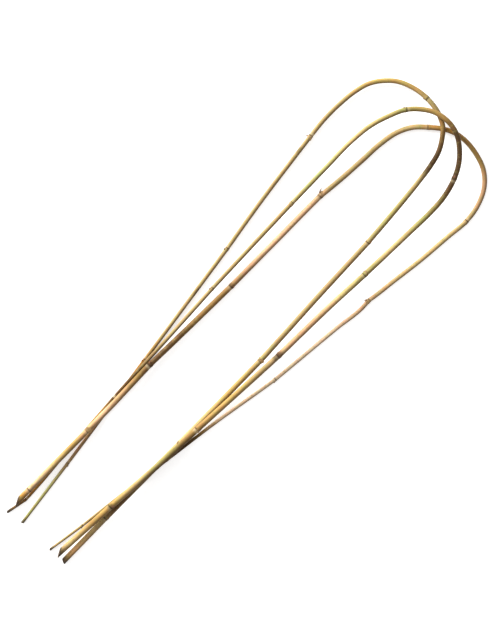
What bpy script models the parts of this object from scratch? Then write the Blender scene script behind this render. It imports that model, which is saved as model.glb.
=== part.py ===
"""Three bamboo canes, each bent into a long narrow U, lying fanned out and crossing on a flat surface.

Frame: metres, +Z up, the surface at z = 0. +Y runs along the bundle from the cane ends towards the bends.
The origin is under the middle of the bundle. Each cane is one solid with its growth rings and cut ends.
"""
import math

import bpy
import bmesh
from mathutils import Matrix, Vector

MM = 0.001

# Driving dimensions of a cane
SIDES = 12                     # flats around a cane
TAPER_POWER = 2.0              # a cane keeps its girth low down and thins faster towards its tip
RING_SWELL = 0.12              # how far a growth ring stands out, as a share of the radius
RING_REACH = 3.2 * MM          # half the length of the swelling at a growth ring
RING_SHOULDER = 0.4            # where the swelling has its shoulders, as a share of its reach
LONGEST_STEP = 34 * MM         # farthest distance between two sections
TURN_STEP = math.radians(6.0)  # farthest turn between two sections
CURVE_STEPS = 24               # points worked out along each stretch of a route
KINK = 0.75                    # 1 is a sharp corner at a growth ring, 0 is none
BUTT_CLEAR = 0.4               # plain length kept behind the slanting cut at the thick end, in diameters
TIP_CLEAR = 0.6                # the same at the thin end
SHARP_EDGE = math.radians(50)  # edges that turn more than this stay crisp

# What a route point is
PASS = 0    # the cane only passes through
RING = 1    # a growth ring with a slight change of direction
BENT = 2    # a growth ring on the smooth bend

# Routes run from the thick end to the thin end. Each row is the centre's x and y, the height of the
# underside above the surface (all in millimetres), and what the point is.
LEFT_ROUTE = [
    (56.2, -443, 0.0, PASS),
    (55.6, -350, 2.8, RING),
    (56.0, -229, 6.0, PASS),
    (56.2, -190, 6.3, RING),
    (55.8, -15, 7.6, RING),
    (50.2, 113, 8.2, PASS),
    (46.4, 228, 8.5, RING),
    (40.9, 303, 8.5, PASS),
    (36.9, 345, 8.4, PASS),
    (32.3, 379, 8.4, PASS),
    (26.6, 401, 8.4, PASS),
    (15.6, 420, 8.4, PASS),
    (3.0, 434, 8.4, PASS),
    (-13.0, 442, 8.2, PASS),
    (-43.3, 447, 7.3, BENT),
    (-71.8, 443, 6.0, PASS),
    (-93.1, 434, 4.8, PASS),
    (-109.1, 420, 3.9, PASS),
    (-122.0, 401, 3.2, PASS),
    (-128.4, 379, 2.7, PASS),
    (-132.0, 348, 2.2, PASS),
    (-132.2, 314, 1.8, PASS),
    (-129.2, 282, 1.4, RING),
    (-112.5, 151, 0.5, PASS),
    (-99.9, 71, 0.0, RING),
    (-77.4, -89, 0.0, PASS),
    (-70.5, -138, 0.0, RING),
    (-43.8, -333, 0.0, RING),
    (-29.8, -445, 0.0, PASS),
]
MIDDLE_ROUTE = [
    (42.6, -438, 7.5, PASS),
    (49.0, -331, 12.0, RING),
    (57.0, -223, 15.5, PASS),
    (60.5, -155, 15.9, RING),
    (70.0, 10, 15.5, RING),
    (73.0, 113, 15.6, PASS),
    (77.0, 189, 15.8, RING),
    (80.9, 293, 16.2, PASS),
    (81.9, 326, 16.3, PASS),
    (80.2, 356, 16.4, PASS),
    (72.0, 387, 16.5, BENT),
    (61.9, 407, 16.5, PASS),
    (45.0, 426, 16.6, PASS),
    (29.3, 437, 16.6, PASS),
    (13.7, 442, 16.6, PASS),
    (-1.5, 442.5, 16.6, PASS),
    (-20.5, 438, 16.4, PASS),
    (-36.9, 428, 15.8, PASS),
    (-53.6, 411, 15.0, BENT),
    (-65.4, 386, 14.2, PASS),
    (-74.9, 356, 13.4, PASS),
    (-78.9, 322, 12.7, PASS),
    (-78.7, 265, 11.7, PASS),
    (-77.7, 189, 10.4, RING),
    (-73.2, 12, 7.9, RING),
    (-68.6, -90, 6.6, PASS),
    (-66.8, -137, 6.0, PASS),
    (-64.9, -184, 6.2, PASS),
    (-63.4, -213, 5.8, RING),
    (-60.4, -267, 2.4, PASS),
    (-57.0, -320, 0.0, PASS),
    (-50.7, -417, 0.0, RING),
    (-57.2, -449, 0.0, PASS),
]
RIGHT_ROUTE = [
    (-57.6, -428, 4.3, PASS),
    (-57.6, -400, 5.0, RING),
    (-57.2, -274, 9.0, RING),
    (-57.6, -213, 9.8, PASS),
    (-58.4, -184, 9.5, PASS),
    (-59.6, -137, 8.0, RING),
    (-58.2, -90, 4.6, PASS),
    (-55.2, 35, 1.6, RING),
    (-55.0, 130, 0.8, PASS),
    (-54.7, 228, 0.3, RING),
    (-50.7, 265, 0.1, PASS),
    (-47.5, 310, 0.0, PASS),
    (-45.0, 350, 0.0, PASS),
    (-39.1, 379, 0.0, PASS),
    (-27.7, 401, 0.0, PASS),
    (-10.6, 418, 0.0, BENT),
    (8.0, 432.5, 0.0, PASS),
    (24.0, 440, 0.0, PASS),
    (46.0, 443, 0.0, PASS),
    (69.5, 440, 0.0, PASS),
    (95.4, 430, 0.0, PASS),
    (113.6, 413, 0.0, PASS),
    (125.8, 388, 0.0, PASS),
    (130.9, 356, 0.0, BENT),
    (127.7, 322, 0.0, PASS),
    (122.7, 265, 0.0, PASS),
    (115.2, 208, 0.0, PASS),
    (112.5, 185, 0.0, PASS),
    (109.6, 166, 0.0, RING),
    (110.2, 151, 0.0, PASS),
    (104.5, 105, 0.0, PASS),
    (97.7, 37, 0.0, PASS),
    (92.0, -20, 0.0, RING),
    (72.6, -134, 0.0, PASS),
    (60.4, -222, 0.0, RING),
    (44.1, -340, 0.0, PASS),
    (38.4, -385, 0.0, RING),
    (29.0, -445, 0.0, PASS),
]

# One row for each cane: node name, route, diameters at the thick and the thin end, then for each end how far
# the cut slants (length of the slant over the diameter) and the side its point is on (degrees from +X
# towards the sky), and the colour.
CANES = [
    ("left_hoop", LEFT_ROUTE, 8.7 * MM, 4.6 * MM, (0.45, 10), (0.5, 150), (0.60, 0.44, 0.20)),
    ("middle_hoop", MIDDLE_ROUTE, 9.0 * MM, 4.2 * MM, (1.6, -15), (0.7, 60), (0.57, 0.45, 0.18)),
    ("right_hoop", RIGHT_ROUTE, 8.9 * MM, 3.8 * MM, (1.1, 190), (0.8, 20), (0.55, 0.40, 0.22)),
]


def clear_scene():
    for thing in list(bpy.data.objects):
        bpy.data.objects.remove(thing, do_unlink=True)


def cane_material(name, colour):
    material = bpy.data.materials.new(name)
    material.use_nodes = True
    shader = material.node_tree.nodes["Principled BSDF"]
    shader.inputs["Base Color"].default_value = (*colour, 1.0)
    shader.inputs["Roughness"].default_value = 0.45
    shader.inputs["Metallic"].default_value = 0.0
    return material


def centre_points(route, thick, thin):
    """The route's points in space: the underside's height plus the radius that the cane has there."""
    flat = [Vector((x * MM, y * MM, 0.0)) for x, y, _, _ in route]
    along = [0.0]
    for before, after in zip(flat, flat[1:]):
        along.append(along[-1] + (after - before).length)
    points = []
    for place, (_, _, lift, _), distance in zip(flat, route, along):
        radius = cane_radius(distance / along[-1], thick, thin)
        points.append(place + Vector((0.0, 0.0, lift * MM + radius)))
    return points


def cane_radius(share, thick, thin):
    """Radius of the clear wood at a share of the length from the thick end."""
    return 0.5 * (thick - (thick - thin) * share ** TAPER_POWER)


def tangents(points, kinds):
    """Two directions for each point: the one that the curve arrives with and the one it leaves with."""
    last = len(points) - 1
    arriving, leaving = [], []
    for i in range(last + 1):
        before = points[i] - points[max(i - 1, 0)]
        after = points[min(i + 1, last)] - points[i]
        if i == 0:
            before = after
        if i == last:
            after = before
        shared = (before.normalized() * after.length + after.normalized() * before.length).normalized()
        kink = KINK if kinds[i] == RING else 0.0
        arriving.append(shared.lerp(before.normalized(), kink).normalized())
        leaving.append(shared.lerp(after.normalized(), kink).normalized())
    return arriving, leaving


def smooth_curve(route, thick, thin):
    """Closely spaced points along the route, and how far along them each growth ring is."""
    points = centre_points(route, thick, thin)
    kinds = [row[3] for row in route]
    arriving, leaving = tangents(points, kinds)
    curve = [points[0]]
    distance = 0.0
    rings = []
    for i in range(len(points) - 1):
        start, end = points[i], points[i + 1]
        chord = (end - start).length
        for step in range(1, CURVE_STEPS + 1):
            t = step / CURVE_STEPS
            place = (
                (2 * t ** 3 - 3 * t ** 2 + 1) * start
                + (t ** 3 - 2 * t ** 2 + t) * chord * leaving[i]
                + (3 * t ** 2 - 2 * t ** 3) * end
                + (t ** 3 - t ** 2) * chord * arriving[i + 1]
            )
            distance += (place - curve[-1]).length
            curve.append(place)
        if kinds[i + 1] != PASS:
            rings.append(distance)
    return curve, rings


def distances(curve):
    along = [0.0]
    for before, after in zip(curve, curve[1:]):
        along.append(along[-1] + (after - before).length)
    return along


def section_places(curve, along, rings, end_clear):
    """Distances along the cane where it gets a section: close together where it turns and at its rings."""
    length = along[-1]
    fixed = {0.0, length}
    for ring in rings:
        for share in (-1.0, -RING_SHOULDER, RING_SHOULDER, 1.0):
            fixed.add(ring + share * RING_REACH)
    fixed.update((end_clear[0], length - end_clear[1]))
    places = sorted(fixed)
    turned, last = 0.0, 0.0
    extra = []
    for i in range(1, len(curve) - 1):
        turned += (curve[i] - curve[i - 1]).angle(curve[i + 1] - curve[i])
        following = [place for place in places if place > last + 1e-9]
        if following and along[i] >= following[0]:
            turned, last = 0.0, following[0]
            continue
        if turned > TURN_STEP or along[i] - last > LONGEST_STEP:
            near_fixed = any(abs(along[i] - place) < 2 * RING_REACH for place in places)
            inside_end = along[i] < end_clear[0] or along[i] > length - end_clear[1]
            if near_fixed or inside_end:
                continue
            extra.append(along[i])
            turned, last = 0.0, along[i]
    return sorted(places + extra)


def at_distance(curve, along, distance):
    """Place and direction of the cane at a distance from its thick end."""
    for i in range(1, len(curve)):
        if along[i] >= distance or i == len(curve) - 1:
            step = curve[i] - curve[i - 1]
            share = (distance - along[i - 1]) / step.length
            return curve[i - 1] + step * min(max(share, 0.0), 1.0), step.normalized()
    raise ValueError("distance is past the cane's end")


def swelling(distance, rings):
    """How much wider the cane is at a distance because of the nearest growth ring."""
    nearest = min(abs(distance - ring) for ring in rings)
    if nearest >= RING_REACH:
        return 1.0
    return 1.0 + RING_SWELL * (0.5 + 0.5 * math.cos(math.pi * nearest / RING_REACH))


def slant_shift(cut, radius, side, up, outward, angle):
    """Move of a rim point along the cane so that the end is one slanting flat cut."""
    slant, point_side = cut
    direction = side * math.cos(angle) + up * math.sin(angle)
    turn = math.radians(point_side)
    towards_point = Vector((math.cos(turn), 0.0, math.sin(turn)))
    return outward * radius * slant * direction.dot(towards_point)


def cane_mesh(name, route, thick, thin, butt_cut, tip_cut):
    curve, rings = smooth_curve(route, thick, thin)
    along = distances(curve)
    length = along[-1]
    end_clear = (thick * (butt_cut[0] / 2 + BUTT_CLEAR), thin * (tip_cut[0] / 2 + TIP_CLEAR))
    places = section_places(curve, along, rings, end_clear)
    shape = bmesh.new()
    loops = []
    for place in places:
        centre, direction = at_distance(curve, along, place)
        side = direction.cross(Vector((0.0, 0.0, 1.0))).normalized()
        up = side.cross(direction).normalized()
        radius = cane_radius(place / length, thick, thin) * swelling(place, rings)
        loop = []
        for corner in range(SIDES):
            angle = 2 * math.pi * corner / SIDES
            point = centre + radius * (side * math.cos(angle) + up * math.sin(angle))
            if place == 0.0:
                point += slant_shift(butt_cut, radius, side, up, -direction, angle)
            if place == length:
                point += slant_shift(tip_cut, radius, side, up, direction, angle)
            loop.append(shape.verts.new(point))
        loops.append(loop)
    for first, second in zip(loops, loops[1:]):
        for corner in range(SIDES):
            following = (corner + 1) % SIDES
            shape.faces.new((first[corner], first[following], second[following], second[corner]))
    shape.faces.new(loops[0])
    shape.faces.new(list(reversed(loops[-1])))
    bmesh.ops.recalc_face_normals(shape, faces=shape.faces)
    mesh = bpy.data.meshes.new(name)
    shape.to_mesh(mesh)
    shape.free()
    mesh.shade_smooth()
    mesh.set_sharp_from_angle(angle=SHARP_EDGE)
    return mesh


def add_cane(name, route, thick, thin, butt_cut, tip_cut, colour):
    mesh = cane_mesh(name, route, thick, thin, butt_cut, tip_cut)
    mesh.materials.append(cane_material(name, colour))
    bpy.context.collection.objects.link(bpy.data.objects.new(name, mesh))


def centre_over_origin():
    """Set the bundle down on z = 0 with the middle of its outline over the origin."""
    meshes = [thing.data for thing in bpy.data.objects if thing.type == "MESH"]
    corners = [vertex.co for mesh in meshes for vertex in mesh.vertices]
    low = Vector([min(corner[axis] for corner in corners) for axis in range(3)])
    high = Vector([max(corner[axis] for corner in corners) for axis in range(3)])
    shift = Vector((-(low.x + high.x) / 2, -(low.y + high.y) / 2, -low.z))
    for mesh in meshes:
        mesh.transform(Matrix.Translation(shift))


def main():
    clear_scene()
    for cane in CANES:
        add_cane(*cane)
    centre_over_origin()


main()
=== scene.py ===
"""Three bamboo canes bent into long narrow hoops, lying fanned out and crossing each other on a pale floor.

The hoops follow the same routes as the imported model. Geometry Nodes turn each route into a cane with growth
rings, branch grooves and lumps, and set the buds, husk scraps and splinters on it.
"""
import math
import random
from typing import NamedTuple

import bmesh
import bpy
import numpy as np
from mathutils import Matrix, Vector


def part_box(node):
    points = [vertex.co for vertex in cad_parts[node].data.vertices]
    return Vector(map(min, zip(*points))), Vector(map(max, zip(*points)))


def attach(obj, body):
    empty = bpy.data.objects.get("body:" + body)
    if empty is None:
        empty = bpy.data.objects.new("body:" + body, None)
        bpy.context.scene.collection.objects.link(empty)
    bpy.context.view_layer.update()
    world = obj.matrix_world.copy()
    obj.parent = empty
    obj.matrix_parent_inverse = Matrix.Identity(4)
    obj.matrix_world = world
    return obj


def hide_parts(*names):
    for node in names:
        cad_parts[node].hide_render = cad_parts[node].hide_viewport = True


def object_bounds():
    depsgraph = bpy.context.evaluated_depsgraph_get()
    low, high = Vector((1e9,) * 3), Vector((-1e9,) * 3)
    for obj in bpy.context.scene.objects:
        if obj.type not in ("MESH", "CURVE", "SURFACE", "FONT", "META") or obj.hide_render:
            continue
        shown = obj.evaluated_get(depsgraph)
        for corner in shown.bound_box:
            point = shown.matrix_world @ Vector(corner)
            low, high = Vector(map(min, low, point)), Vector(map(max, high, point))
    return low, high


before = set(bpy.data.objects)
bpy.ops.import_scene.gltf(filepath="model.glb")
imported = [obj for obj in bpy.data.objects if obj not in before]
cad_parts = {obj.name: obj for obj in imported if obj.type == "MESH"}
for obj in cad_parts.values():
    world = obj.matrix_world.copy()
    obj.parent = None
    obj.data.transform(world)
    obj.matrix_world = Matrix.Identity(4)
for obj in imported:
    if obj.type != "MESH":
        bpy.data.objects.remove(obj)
CAD_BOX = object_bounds()

bl_info = {
    "name": "Bent Bamboo Hoops",
    "version": (1, 0, 0),
    "blender": (4, 5, 0),
    "location": "3D View > Sidebar > Hoops",
    "description": "Three bamboo canes bent into hoops, with growth rings, buds, husk scraps and cut ends",
    "category": "Add Mesh",
}

MM = 0.001

# Routes and how they are joined up
TAPER_POWER = 2.0
CURVE_STEPS = 24
KINK = 0.75
PASS = 0
RING = 1
BENT = 2

# Sections along a cane
PLAIN_STEP = 1.7 * MM
CLOSE_STEP = 0.45 * MM
RING_ZONE = 6.0 * MM
END_ZONE = 16.0 * MM
BUTT_CLEAR = 0.4
TIP_CLEAR = 0.6
DIRECTION_REACH = 1.5 * MM

# What a growth ring is made of: where it is along the cane, seen from the ring, and half its width
RING_RIDGE = (0.7 * MM, 2.0 * MM)
RING_LIP = (-1.5 * MM, 0.45 * MM)
RING_NECK = (-0.7 * MM, 0.55 * MM)
RING_SCAR = (-1.1 * MM, 0.8 * MM)
RING_WAX = (-4.0 * MM, 2.2 * MM)
LIP_SHARE = 0.75    # the height of the lip, and the depth of the neck, beside the ridge's height

# The branch groove above a bud: how narrow it is, how it fades towards the next ring, where it starts
GROOVE_POWER = 7.0
GROOVE_FADE = (0.0, 0.65, 1.0, 0.0)
GROOVE_START = (1.5 * MM, 6.0 * MM)

# How fine the noise in the cane's shape is: along the cane, then twice across it
LUMPS = (36.0, 150.0, 150.0)
FIBRE_RIDGES = (45.0, 900.0, 900.0)

# Bruises, and the painted shade listed with them: how far they reach round the cane
BRUISE_WRAP = 0.55
BRUISE_FACING = 0.6

# Where the rings before the thick end and after the thin end are taken to be
RING_BEFORE = 100 * MM
RING_AFTER = 80 * MM

# The cut face from its rim to its middle: share of the rim's radius, and how far it stands out (millimetres)
CUT_FACE = [(0.965, 0.10), (0.90, 0.16), (0.78, 0.10), (0.64, 0.14), (0.50, 0.05), (0.40, 0.02), (0.34, -0.25),
            (0.31, -1.6), (0.27, -3.4), (0.16, -4.2)]
CUT_ROUGH = 0.07                    # how rough it is (millimetres), between two shares of the rim's radius
ROUGH_FROM, ROUGH_TO = 0.35, 0.95
BORE_POINT = 1.05                   # how much deeper the middle of the bore is
SHARP_ANGLE = math.radians(48)
WORKING_VALUES = ("centre", "rim", "clean_radius", "ring_offset", "since_ring", "bud_way", "along", "wax_share")

# Buds: shares of a bud's length, and where a bud is set
BUD_STEPS, BUD_CORNERS = 7, 8
BUD_WIDTH, BUD_HEIGHT, BUD_LEAN, BUD_KEEL = 0.36, 0.22, 0.16, 0.05
BUD_BELLY = 0.4                     # height on the cane's side beside the height on the outside
BUD_START = 0.9 * MM                # beyond the middle of its ring
BUD_STAND = 1.04                    # distance from the cane's middle, in radii
BUD_THICKEST = 4.5 * MM
SMALL_BUD_LEAN = 5
ODD_SIDE, EVEN_SIDE = 40, 215       # sides of the small buds, in turn

# Splinters: length in radii of the cane, depth as a share of the radius, lean in degrees, thickness
SPLINTER_LENGTH = (0.4 / 4.5, 1.5 / 4.5)
SPLINTER_DEPTH = (0.80, 0.96)
SPLINTER_LEAN = (-12, 3)
SPLINTER_THICK = (0.12 * MM, 0.2 * MM)

# Husk scraps: cane, ring, side (degrees), length in millimetres, turned to the butt or to the tip
HUSKS = [(0, 2, 70, 6, 1), (0, 5, 150, 8, 1), (1, 3, 130, 8, 1), (1, 6, 100, 7, 1), (2, 1, 80, 8, 1),
         (2, 4, 150, 10, 1), (2, 7, 120, 9, 1), (2, 9, 70, 16, -1), (1, 1, 40, 7, -1), (0, 1, 75, 7, -1)]
HUSK_AROUND, HUSK_UP = 9, 7
HUSK_SPAN = math.radians(118)
HUSK_THICK, HUSK_TEAR, HUSK_PEEL = 0.045, 0.16, 0.20
HUSK_START = 1.2 * MM
HUSK_STAND = 1.05

# Routes run from the thick end to the thin end: x, y and the height of the underside in millimetres,
# and what the point is.
LEFT_ROUTE = [
    (56.2, -443, 0.0, PASS), (55.6, -350, 2.8, RING), (56.0, -229, 6.0, PASS),
    (56.2, -190, 6.3, RING), (55.8, -15, 7.6, RING), (50.2, 113, 8.2, PASS),
    (46.4, 228, 8.5, RING), (40.9, 303, 8.5, PASS), (36.9, 345, 8.4, PASS),
    (32.3, 379, 8.4, PASS), (26.6, 401, 8.4, PASS), (15.6, 420, 8.4, PASS),
    (3.0, 434, 8.4, PASS), (-13.0, 442, 8.2, PASS), (-43.3, 447, 7.3, BENT),
    (-71.8, 443, 6.0, PASS), (-93.1, 434, 4.8, PASS), (-109.1, 420, 3.9, PASS),
    (-122.0, 401, 3.2, PASS), (-128.4, 379, 2.7, PASS), (-132.0, 348, 2.2, PASS),
    (-132.2, 314, 1.8, PASS), (-129.2, 282, 1.4, RING), (-112.5, 151, 0.5, PASS),
    (-99.9, 71, 0.0, RING), (-77.4, -89, 0.0, PASS), (-70.5, -138, 0.0, RING),
    (-43.8, -333, 0.0, RING), (-29.8, -445, 0.0, PASS),
]
MIDDLE_ROUTE = [
    (42.6, -438, 7.5, PASS), (49.0, -331, 12.0, RING), (57.0, -223, 15.5, PASS),
    (60.5, -155, 15.9, RING), (70.0, 10, 15.5, RING), (73.0, 113, 15.6, PASS),
    (77.0, 189, 15.8, RING), (80.9, 293, 16.2, PASS), (81.9, 326, 16.3, PASS),
    (80.2, 356, 16.4, PASS), (72.0, 387, 16.5, BENT), (61.9, 407, 16.5, PASS),
    (45.0, 426, 16.6, PASS), (29.3, 437, 16.6, PASS), (13.7, 442, 16.6, PASS),
    (-1.5, 442.5, 16.6, PASS), (-20.5, 438, 16.4, PASS), (-36.9, 428, 15.8, PASS),
    (-53.6, 411, 15.0, BENT), (-65.4, 386, 14.2, PASS), (-74.9, 356, 13.4, PASS),
    (-78.9, 322, 12.7, PASS), (-78.7, 265, 11.7, PASS), (-77.7, 189, 10.4, RING),
    (-73.2, 12, 7.9, RING), (-68.6, -90, 6.6, PASS), (-66.8, -137, 6.0, PASS),
    (-64.9, -184, 6.2, PASS), (-63.4, -213, 5.8, RING), (-60.4, -267, 2.4, PASS),
    (-57.0, -320, 0.0, PASS), (-50.7, -417, 0.0, RING), (-57.2, -449, 0.0, PASS),
]
RIGHT_ROUTE = [
    (-57.6, -428, 4.3, PASS), (-57.6, -400, 5.0, RING), (-57.2, -274, 9.0, RING),
    (-57.6, -213, 9.8, PASS), (-58.4, -184, 9.5, PASS), (-59.6, -137, 8.0, RING),
    (-58.2, -90, 4.6, PASS), (-55.2, 35, 1.6, RING), (-55.0, 130, 0.8, PASS),
    (-54.7, 228, 0.3, RING), (-50.7, 265, 0.1, PASS), (-47.5, 310, 0.0, PASS),
    (-45.0, 350, 0.0, PASS), (-39.1, 379, 0.0, PASS), (-27.7, 401, 0.0, PASS),
    (-10.6, 418, 0.0, BENT), (8.0, 432.5, 0.0, PASS), (24.0, 440, 0.0, PASS),
    (46.0, 443, 0.0, PASS), (69.5, 440, 0.0, PASS), (95.4, 430, 0.0, PASS),
    (113.6, 413, 0.0, PASS), (125.8, 388, 0.0, PASS), (130.9, 356, 0.0, BENT),
    (127.7, 322, 0.0, PASS), (122.7, 265, 0.0, PASS), (115.2, 208, 0.0, PASS),
    (112.5, 185, 0.0, PASS), (109.6, 166, 0.0, RING), (110.2, 151, 0.0, PASS),
    (104.5, 105, 0.0, PASS), (97.7, 37, 0.0, PASS), (92.0, -20, 0.0, RING),
    (72.6, -134, 0.0, PASS), (60.4, -222, 0.0, RING), (44.1, -340, 0.0, PASS),
    (38.4, -385, 0.0, RING), (29.0, -445, 0.0, PASS),
]

# Cane skin colours, as the dry cane shows them, and shade: the painted shade on the side turned from the key
# light
PALETTE = {
    "pale": (0.74, 0.555, 0.37),
    "cream": (0.62, 0.43, 0.27),
    "straw": (0.49, 0.355, 0.156),
    "peach": (0.46, 0.28, 0.15),
    "gold": (0.41, 0.273, 0.083),
    "tan": (0.325, 0.235, 0.103),
    "olive": (0.27, 0.238, 0.078),
    "moss": (0.165, 0.127, 0.032),
    "orange": (0.365, 0.21, 0.062),
    "rosy": (0.36, 0.206, 0.11),
    "clay": (0.23, 0.132, 0.038),
    "umber": (0.095, 0.048, 0.013),
    "bark": (0.055, 0.028, 0.009),
    "rust": (0.235, 0.105, 0.014),
    "amber": (0.40, 0.19, 0.032),
    "blush": (0.57, 0.35, 0.205),
    "apricot": (0.56, 0.325, 0.135),
    "green": (0.30, 0.30, 0.115),
    "shade": (0.105, 0.049, 0.010),
    "soot": (0.050, 0.036, 0.024),
}

# Blotches where the skin is a little rosier or greener
ROSY_CAST = (1.09, 0.94, 0.98)
GREEN_CAST = (0.91, 1.055, 0.96)

# Each cane's colours from its thick end to its thin end: share of the length, colour
LEFT_TONES = [
    (0.00, "clay"), (0.012, "apricot"), (0.036, "straw"), (0.058, "umber"), (0.07, "umber"), (0.09, "moss"),
    (0.115, "straw"), (0.155, "straw"), (0.19, "gold"), (0.24, "tan"), (0.35, "tan"), (0.385, "olive"),
    (0.42, "tan"), (0.433, "bark"), (0.455, "umber"), (0.473, "clay"), (0.487, "tan"), (0.515, "gold"),
    (0.54, "gold"), (0.575, "tan"), (0.81, "tan"), (0.84, "rust"), (0.865, "rust"), (0.885, "clay"),
    (0.93, "rosy"), (0.962, "green"), (1.00, "olive"),
]
MIDDLE_TONES = [
    (0.00, "umber"), (0.013, "straw"), (0.038, "orange"), (0.062, "gold"), (0.087, "straw"), (0.113, "olive"),
    (0.138, "clay"), (0.165, "orange"), (0.20, "gold"), (0.225, "tan"), (0.25, "peach"), (0.29, "peach"),
    (0.312, "straw"), (0.34, "olive"), (0.365, "straw"), (0.405, "olive"), (0.432, "umber"), (0.455, "bark"),
    (0.485, "bark"), (0.505, "orange"), (0.537, "olive"), (0.585, "straw"), (0.62, "green"), (0.662, "tan"),
    (0.80, "tan"), (0.852, "umber"), (0.870, "umber"), (0.885, "clay"), (0.942, "amber"), (0.97, "amber"),
    (1.00, "bark"),
]
# On the right cane the umber stretch from 0.158 to 0.19 is a painted shadow, where the middle cane's shadow
# falls on it
RIGHT_TONES = [
    (0.00, "clay"), (0.010, "amber"), (0.019, "cream"), (0.04, "straw"), (0.065, "orange"), (0.10, "blush"),
    (0.14, "clay"), (0.158, "umber"), (0.19, "umber"), (0.215, "clay"), (0.24, "clay"), (0.265, "rosy"),
    (0.288, "blush"), (0.345, "blush"), (0.362, "tan"), (0.40, "tan"), (0.445, "straw"), (0.472, "amber"),
    (0.49, "clay"), (0.512, "clay"), (0.537, "rosy"), (0.565, "tan"), (0.587, "straw"), (0.64, "straw"),
    (0.675, "peach"), (0.72, "pale"), (0.78, "pale"), (0.825, "cream"), (0.842, "clay"), (0.862, "bark"),
    (0.888, "umber"), (0.95, "tan"),
]

# Dark bruises, and on the middle cane one stretch of painted shade (at 215 mm, on its right side): distance from
# the thick end and half length in millimetres, the side it is on (degrees from the cane's right towards the
# sky), strength
LEFT_BRUISES = [(1445, 8, 180, 0.6), (826, 20, 90, 0.5), (1180, 6, 20, 0.4)]
# The second mark, at 215 mm on the right side, is painted shade
MIDDLE_BRUISES_AND_SHADE = [(107, 5, 60, 0.6), (215, 66, 0, 0.68), (448, 9, 100, 0.7), (826, 30, 80, 0.4)]
RIGHT_BRUISES = [(291, 5, 90, 0.7), (464, 4, 90, 0.5), (655, 4, 90, 0.4), (1604, 24, 80, 0.5)]

# How strong the pale wax is at a growth ring where it stands out (counted from the thick end)
PALE_RINGS = {"middle_cane": {8: 1.0, 1: 0.6, 4: 0.4}, "left_cane": {1: 0.6, 5: 0.5}, "right_cane": {2: 0.5}}
FAINT_WAX = 0.25

# The way towards the key light: the skin is painted lighter on the side facing it and painted darker on the side
# turned from it
PAINTED_LIGHT_WAY = (-0.93, 0.0, 0.37)

# Buds and spurs: for a ring of the cane (counted from the thick end), the side, length and how far it leans
# out (degrees). Rings that aren't listed get a small flat bud, on alternate sides.
LEFT_SPURS = {5: (15, 6.5, 26), 6: (40, 4.0, 12)}
MIDDLE_SPURS = {0: (70, 4.5, 10), 4: (100, 5.0, 12)}
RIGHT_SPURS = {4: (165, 9.0, 20), 7: (20, 4.8, 10), 2: (120, 4.5, 14)}

# Noise in the skin, in the order of its seeds: how fine it is along and across the cane, detail, roughness
SKIN_NOISE = {
    "wander": (60.0, 220.0, 3.0, 0.6),
    "bands": (170.0, 60.0, 3.0, 0.65),
    "warm": (150.0, 80.0, 2.0, 0.6),
    "streaks": (40.0, 1500.0, 4.0, 0.6),
    "stains": (75.0, 300.0, 5.0, 0.7),
    "fibres": (120.0, 4200.0, 3.0, 0.6),
    "hue": (80.0, 50.0, 4.0, 0.75),
}
SPECKS = (260.0, 520.0, 520.0)

# How a noise or a value shows in the skin: where it starts, where it ends, and how strong it is at both
OLIVE_BANDS = (0.53, 0.70, 0.0, 0.55)
ORANGE_BANDS = (0.56, 0.74, 0.0, 0.5)
STREAK_LIGHT = (0.3, 0.75, 0.68, 1.30)
UMBER_STAINS = (0.58, 0.80, 0.0, 0.6)
BLOTCHES = (0.36, 0.64, 0.0, 1.0)
# The painted shade on the side turned from the key light, and the painted light on the side facing it
PAINTED_SHADE_SIDE = (0.38, -0.35, 0.0, 0.74)
PAINTED_LIGHT_SIDE = (0.35, 0.95, 1.0, 1.55)
BRUISE_BREAKS = (0.25, 0.55, 0.45, 1.25)
WAX_BREAKS = (0.3, 0.6, 0.5, 0.95)
SCAR_BREAKS = (0.3, 0.6, 0.55, 1.0)
SPECK_SIZE = (0.10, 0.22, 0.85, 0.0)
SPECK_BANDS = (0.45, 0.6, 0.0, 1.0)
END_SOOT = (2.0 * MM, 11.0 * MM, 0.9, 0.0)
SKIN_ROUGH = (0.3, 0.7, 0.42, 0.6)
TONE_WANDER = 0.022     # how far the tones wander, as a share of the cane's length
SIDE_WANDER = 0.5       # how ragged the edge of the shaded side is
SOOT_WANDER = 7.0 * MM
SKIN_SPECULAR = 0.18
SCAR_ROUGH = 0.3        # how much rougher bruises and scars are

# The cut ends: how fine the dots of the fibre bundles and the changes of tint are
END_GRAIN = (200.0, 2600.0, 2600.0)
END_TINT = (300.0, 500.0, 500.0)

# How fine the streaks of the small pieces are
BUD_STREAKS = (900.0, 120.0, 900.0)
DRY_STREAKS = (1400.0, 90.0, 1400.0)


class Cane(NamedTuple):
    """What one hoop is made from. A cut is its slant over the diameter and the side its point is on."""
    node: str
    piece: str
    route: list
    thick: float
    thin: float
    butt_cut: tuple
    tip_cut: tuple
    tones: list
    bruises: list
    spurs: dict
    seed: int


CANES = [
    Cane("left_hoop", "left_cane", LEFT_ROUTE, 8.7 * MM, 4.6 * MM, (0.45, 10), (0.5, 150),
         LEFT_TONES, LEFT_BRUISES, LEFT_SPURS, 3),
    Cane("middle_hoop", "middle_cane", MIDDLE_ROUTE, 9.0 * MM, 4.2 * MM, (1.6, -15), (0.7, 60),
         MIDDLE_TONES, MIDDLE_BRUISES_AND_SHADE, MIDDLE_SPURS, 11),
    Cane("right_hoop", "right_cane", RIGHT_ROUTE, 8.9 * MM, 3.8 * MM, (2.0, -12), (0.8, 20),
         RIGHT_TONES, RIGHT_BRUISES, RIGHT_SPURS, 23),
]


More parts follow.
